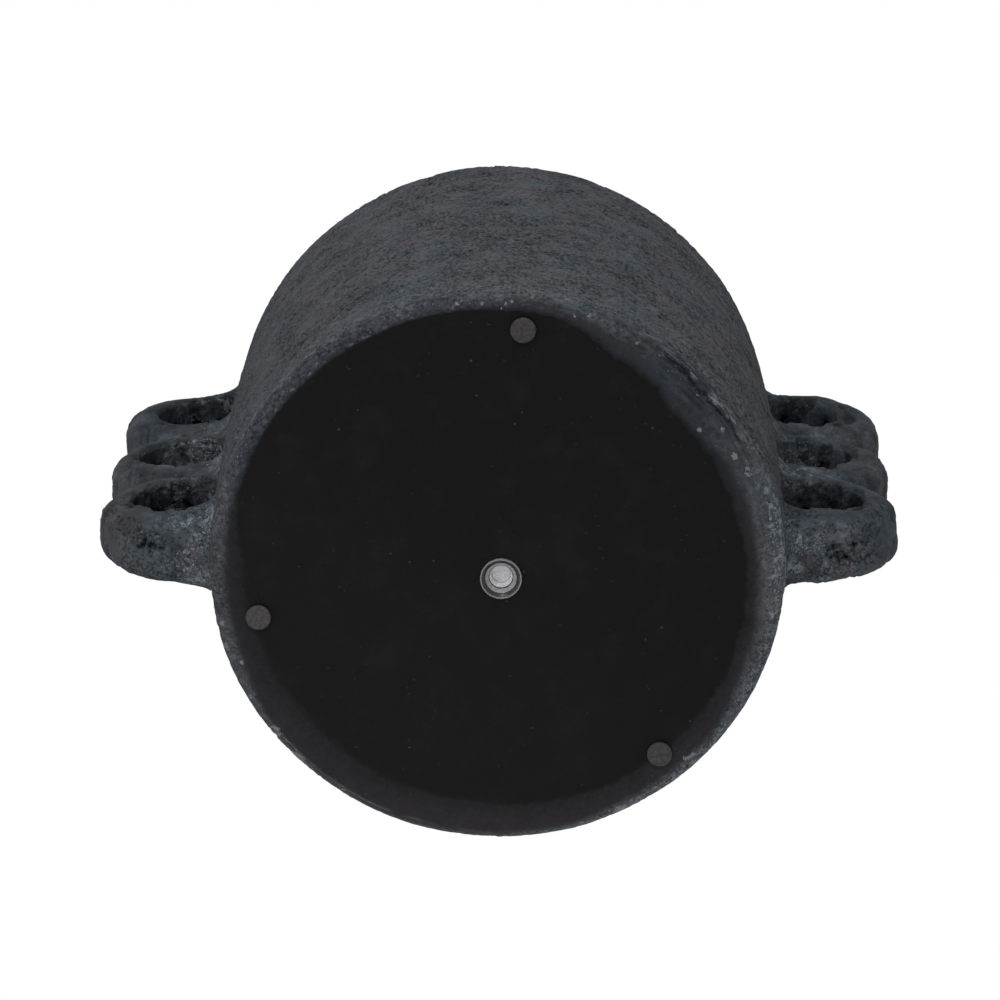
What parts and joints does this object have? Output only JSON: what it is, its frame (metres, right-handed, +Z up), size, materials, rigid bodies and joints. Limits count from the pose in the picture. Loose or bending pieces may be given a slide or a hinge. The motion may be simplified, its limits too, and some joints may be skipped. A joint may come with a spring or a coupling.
{
  "type": "planter",
  "caption": "Round rough clay planter with stacked loop handles on two sides, stick-on pads and a drain plug.",
  "frame": {"origin": "on the ground under the middle of the pot, level with the undersides of its pads", "axes": "+Z up out of the mouth, +X through the right-hand loops, -Y the front"},
  "size_m": [0.4286, 0.3082, 0.288],
  "materials": {
    "charcoal_clay": "matte, rough, brushed slip",
    "pad_rubber": "matte",
    "adhesive": "matte",
    "clear_plug": "translucent, glossy"
  },
  "bodies": {
    "pot": {"pot_shell": "charcoal_clay", "right_loop_lower": "charcoal_clay", "right_loop_middle": "charcoal_clay", "right_loop_upper": "charcoal_clay", "left_loop_lower": "charcoal_clay", "left_loop_middle": "charcoal_clay", "left_loop_upper": "charcoal_clay", "front_foot_pad": "pad_rubber", "left_foot_pad": "pad_rubber", "rear_foot_pad": "pad_rubber", "front_foot_adhesive": "adhesive", "left_foot_adhesive": "adhesive", "rear_foot_adhesive": "adhesive"},
    "plug": {"drain_plug": "clear_plug"}
  },
  "joints": [
    {"name": "plug_pull", "type": "slide", "parent": "pot", "child": "plug", "axis": [0, 0, -1], "range_m": [0, 0.03]}
  ]
}
